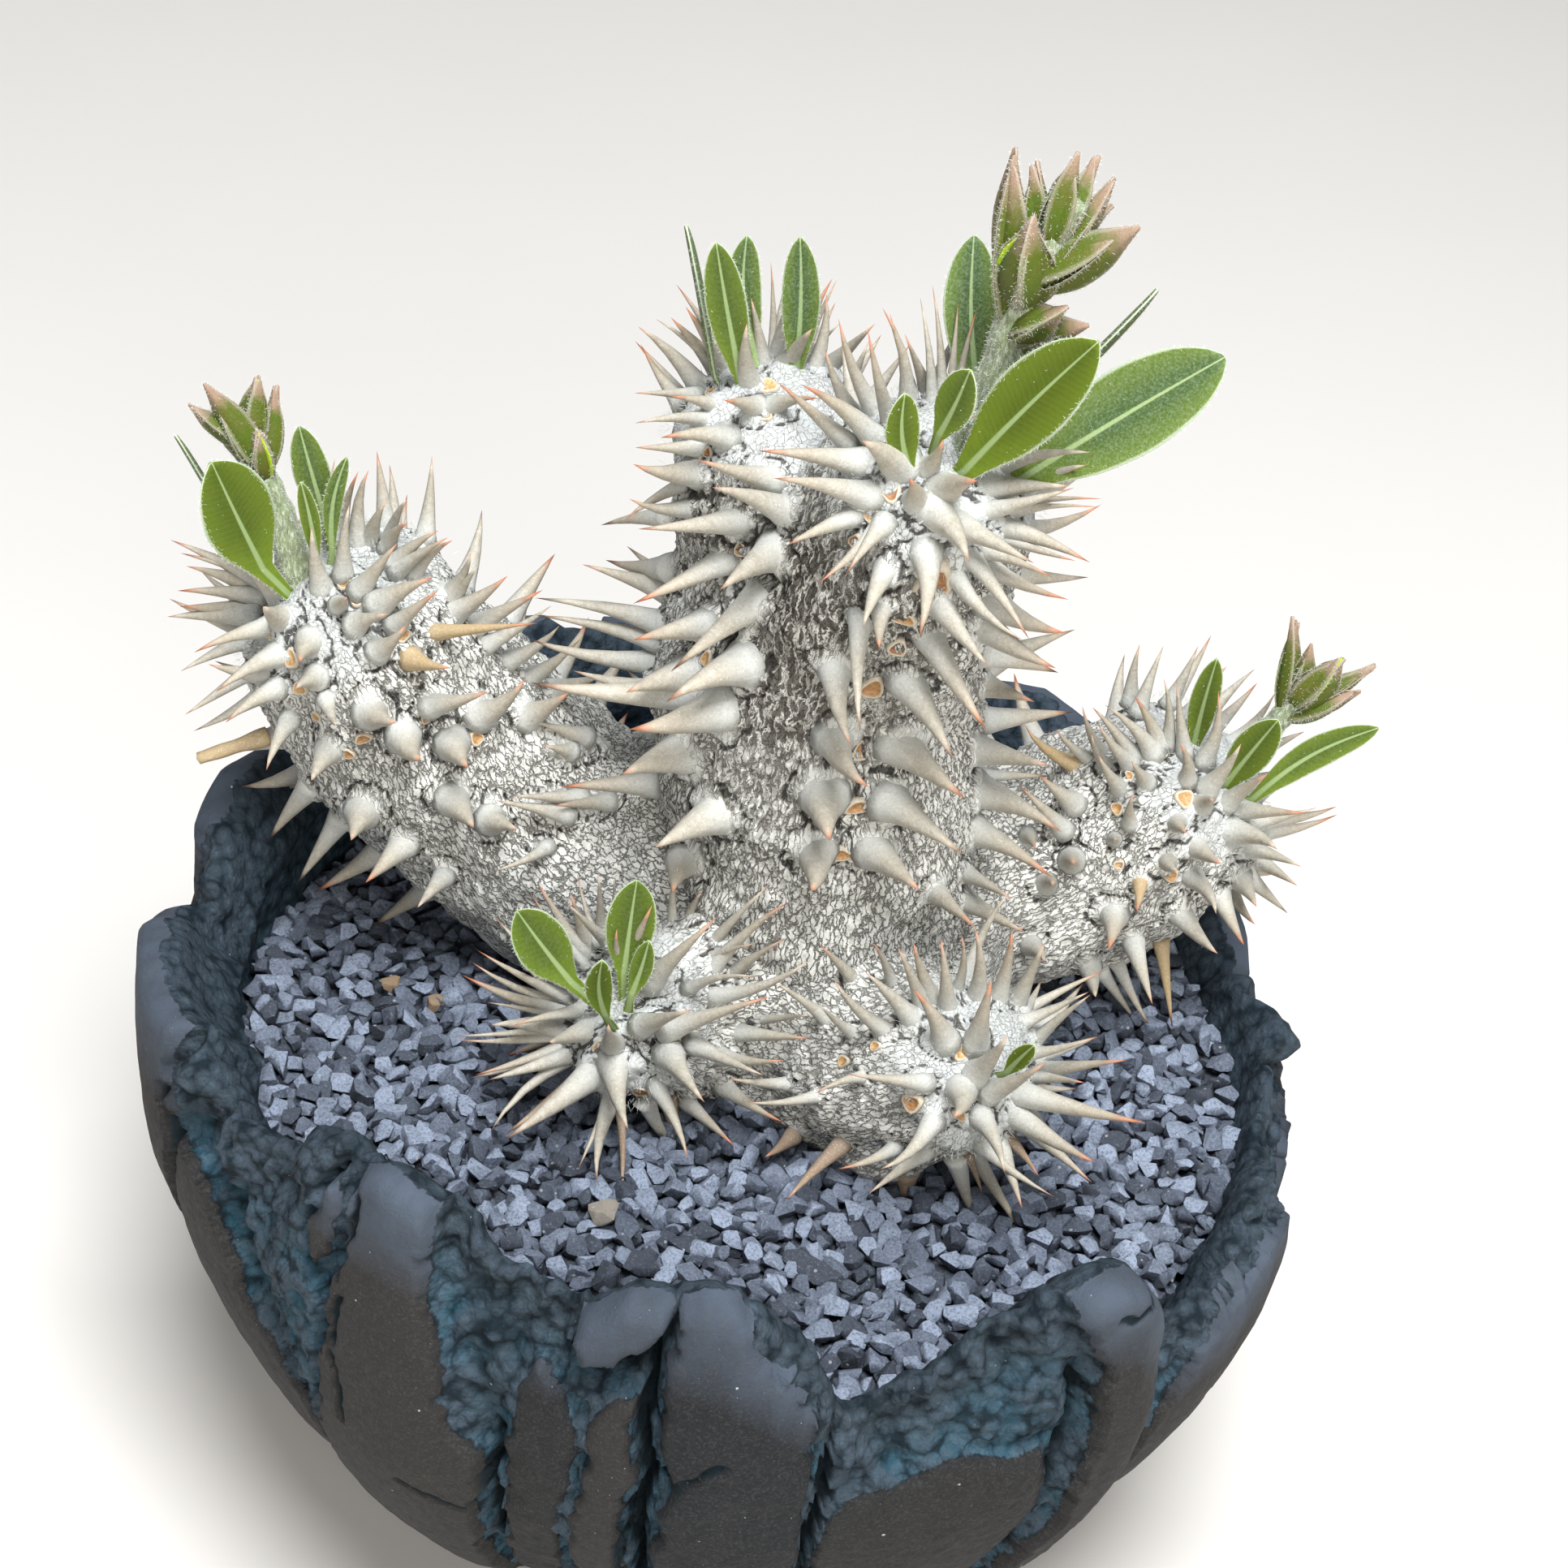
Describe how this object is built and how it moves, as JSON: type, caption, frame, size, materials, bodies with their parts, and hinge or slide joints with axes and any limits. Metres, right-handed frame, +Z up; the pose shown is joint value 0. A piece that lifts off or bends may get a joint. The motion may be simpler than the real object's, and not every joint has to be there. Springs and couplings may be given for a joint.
{
  "type": "potted caudex succulent",
  "caption": "Spiny caudex succulent with thick branching stems, leaf crowns and flower buds, rooted in soil under crushed stone in a round hand-built clay bowl with a torn rim.",
  "frame": {"origin": "centre of the bowl's flat foot, on the surface it stands on", "axes": "+Z up along the bowl's axis; the front of the bowl and of the plant faces -Y"},
  "size_m": [0.1228, 0.1207, 0.1613],
  "materials": {
    "clay": "matte, rough and torn, unglazed",
    "net": "matte moulded net",
    "soil": "loose gritty soil",
    "gravel": "dusty crushed slate",
    "bark": "flaky silver-grey bark with spines",
    "leaf": "soft, finely hairy",
    "stalk": "soft, hairy",
    "bud": "soft, hairy, brown-tipped"
  },
  "bodies": {
    "root": {"bowl": "clay", "drain_net": "net", "front_left_leaf_1": "leaf", "front_left_leaf_2": "leaf", "front_left_leaf_3": "leaf", "front_left_leaf_4": "leaf", "front_left_stem": "bark", "front_right_leaf_1": "leaf", "front_right_stem": "bark", "gravel_top_dressing": "gravel", "left_bud_1": "bud", "left_bud_2": "bud", "left_bud_3": "bud", "left_bud_4": "bud", "left_bud_5": "bud", "left_flower_stalk": "stalk", "left_head_leaf_1": "leaf", "left_head_leaf_2": "leaf", "left_head_leaf_3": "leaf", "left_head_leaf_4": "leaf", "left_leaf_1": "leaf", "left_leaf_2": "leaf", "left_leaf_3": "leaf", "left_leaf_4": "leaf", "left_leaf_5": "leaf", "left_stem": "bark", "right_bud_1": "bud", "right_bud_2": "bud", "right_bud_3": "bud", "right_bud_4": "bud", "right_bud_5": "bud", "right_flower_stalk": "stalk", "right_head_bud_1": "bud", "right_head_bud_10": "bud", "right_head_bud_2": "bud", "right_head_bud_3": "bud", "right_head_bud_4": "bud", "right_head_bud_5": "bud", "right_head_bud_6": "bud", "right_head_bud_7": "bud", "right_head_bud_8": "bud", "right_head_bud_9": "bud", "right_head_flower_stalk": "stalk", "right_head_leaf_1": "leaf", "right_head_leaf_2": "leaf", "right_head_leaf_3": "leaf", "right_head_leaf_4": "leaf", "right_head_leaf_5": "leaf", "right_head_leaf_6": "leaf", "right_head_leaf_7": "leaf", "right_leaf_1": "leaf", "right_leaf_2": "leaf", "right_leaf_3": "leaf", "right_stem": "bark", "soil": "soil", "trunk": "bark"}
  },
  "joints": []
}
